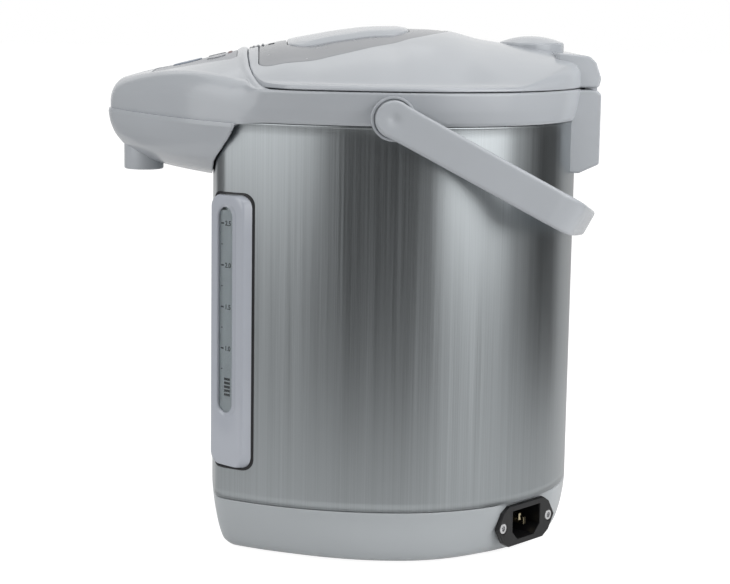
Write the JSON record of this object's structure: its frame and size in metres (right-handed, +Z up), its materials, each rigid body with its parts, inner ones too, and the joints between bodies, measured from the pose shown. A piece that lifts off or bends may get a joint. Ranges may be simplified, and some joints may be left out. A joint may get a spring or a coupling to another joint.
{
  "type": "electric thermo pot",
  "caption": "Steel-wrapped hot water dispenser with pump spout, control panel, hinged lid with press pad, swinging handle, level gauge and rear power inlet.",
  "frame": {"origin": "on the table plane, under the axis of the water vessel", "axes": "+Z up; the spout points to -Y and the lid hinge is at +Y; the gauge and the power inlet are on the +X side"},
  "size_m": [0.224, 0.271, 0.2805],
  "materials": {
    "grey_gloss": "moulded gloss",
    "dark_grey": "fine satin",
    "light_grey": "satin",
    "button_blue": "satin",
    "lens_red": "clear tinted",
    "brushed_steel": "vertical brushing",
    "vessel_steel": "satin",
    "bright_steel": "plated",
    "brass": "plated",
    "gauge_white": "moulded gloss",
    "clear": "clear",
    "black_plastic": "satin",
    "white_plastic": "satin",
    "rubber_black": "matte",
    "silicone": "matte",
    "felt": "felted",
    "board_green": "lacquered"
  },
  "bodies": {
    "pot": {"base_shell": "grey_gloss", "bottom_cover": "dark_grey", "bottom_screws": "bright_steel", "rubber_feet": "rubber_black", "steel_wrap": "brushed_steel", "collar": "grey_gloss", "spout_cover": "grey_gloss", "nozzle": "grey_gloss", "spout_pipe": "white_plastic", "control_panel": "dark_grey", "indicator_lens": "lens_red", "panel_board": "board_green", "power_board": "board_green", "gauge_gasket": "rubber_black", "gauge_frame": "gauge_white", "gauge_window": "clear", "gauge_scale": "white_plastic", "sight_tube": "clear", "water_vessel": "vessel_steel", "insulation_jacket": "felt", "main_heater": "vessel_steel", "keep_warm_band": "brass", "thermostats": "black_plastic", "pump_mount": "rubber_black", "pump_motor": "vessel_steel", "pump_housing": "white_plastic", "inlet_hose": "silicone", "outlet_hose": "silicone", "riser_hose": "silicone", "power_inlet": "black_plastic", "inlet_pins": "brass", "inlet_screws": "bright_steel", "handle_pivots": "grey_gloss", "hinge_pin": "bright_steel"},
    "lid": {"lid_shell": "grey_gloss", "lid_inset": "dark_grey", "pump_bellows": "rubber_black", "pad_spring": "bright_steel", "lid_base": "white_plastic", "inner_plate": "vessel_steel", "lid_seal": "silicone", "steam_vent_cap": "grey_gloss", "vent_valve": "silicone"},
    "pad": {"press_pad": "grey_gloss"},
    "latch": {"lid_latch": "dark_grey"},
    "handle": {"handle": "grey_gloss"},
    "dispense": {"dispense_button": "button_blue"},
    "reboil": {"reboil_button": "light_grey"},
    "lock": {"lock_button": "light_grey"},
    "impeller": {"pump_impeller": "white_plastic"}
  },
  "joints": [
    {"name": "lid_hinge", "type": "hinge", "parent": "pot", "child": "lid", "pos_m": [0, 0.1055, 0.24], "axis": [-1, 0, 0], "range_deg": [0, 85]},
    {"name": "pad_press", "type": "slide", "parent": "lid", "child": "pad", "axis": [0, 0, -1], "range_m": [0, 0.01], "stiffness_N_per_m": 300, "deforming": ["pump_bellows", "pad_spring"]},
    {"name": "latch_slide", "type": "slide", "parent": "lid", "child": "latch", "axis": [0, 0.9753, 0.2211], "range_m": [0, 0.003], "stiffness_N_per_m": 200},
    {"name": "handle_swing", "type": "hinge", "parent": "pot", "child": "handle", "pos_m": [0, -0.0084, 0.2352], "axis": [1, 0, 0], "range_deg": [0, 180]},
    {"name": "dispense_press", "type": "slide", "parent": "pot", "child": "dispense", "axis": [0, 0, -1], "range_m": [0, 0.0008], "stiffness_N_per_m": 800},
    {"name": "reboil_press", "type": "slide", "parent": "pot", "child": "reboil", "axis": [0, 0, -1], "range_m": [0, 0.0008], "stiffness_N_per_m": 800},
    {"name": "lock_press", "type": "slide", "parent": "pot", "child": "lock", "axis": [0, 0, -1], "range_m": [0, 0.0008], "stiffness_N_per_m": 800},
    {"name": "impeller_spin", "type": "hinge", "parent": "pot", "child": "impeller", "pos_m": [0, -0.042, 0.03], "axis": [0, 0, 1], "continuous": true}
  ]
}
